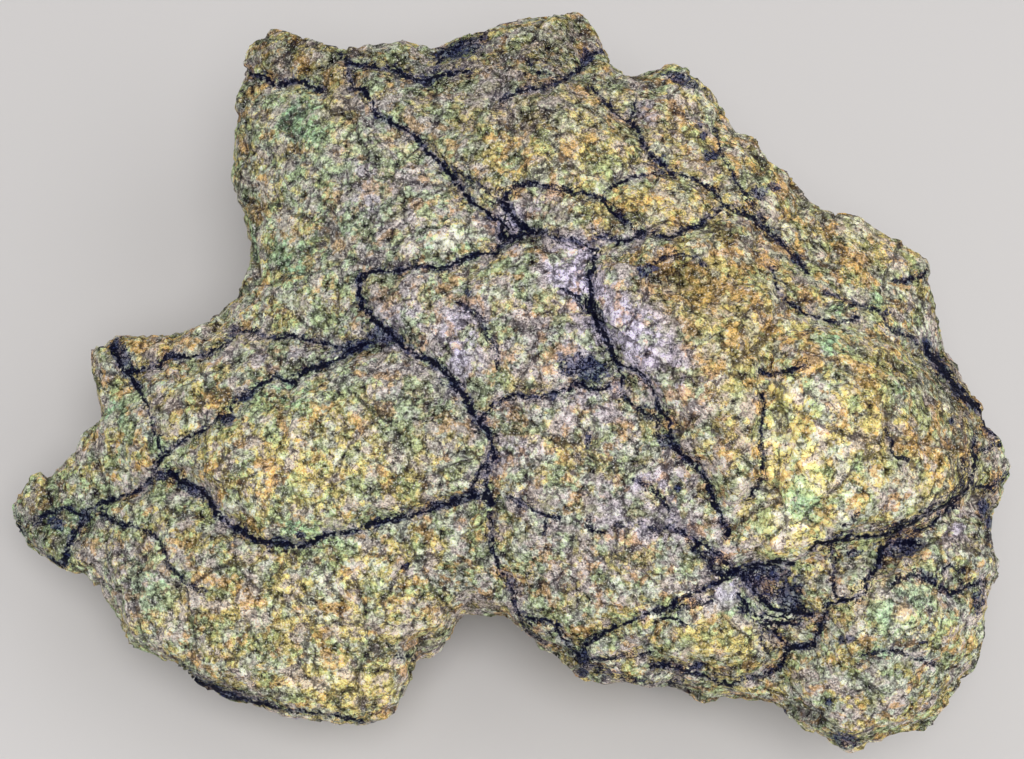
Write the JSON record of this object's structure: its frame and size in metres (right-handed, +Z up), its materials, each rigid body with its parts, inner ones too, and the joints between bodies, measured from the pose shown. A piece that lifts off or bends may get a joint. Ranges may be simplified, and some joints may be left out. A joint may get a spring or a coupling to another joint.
{
  "type": "meteorite",
  "caption": "Hand-sized stony meteorite of pale green-yellow crystals cut by dark veins, broken on every side and resting on a small worn flat.",
  "frame": {"origin": "bottom centre of the bounding box, on the table that the stone rests on", "axes": "+X towards the stone's right end as the picture shows it, +Y away from the viewer, +Z up"},
  "size_m": [0.1102, 0.0816, 0.0475],
  "materials": {
    "meteorite_stone": "rough"
  },
  "bodies": {
    "root": {"meteorite_stone": "meteorite_stone"}
  },
  "joints": []
}
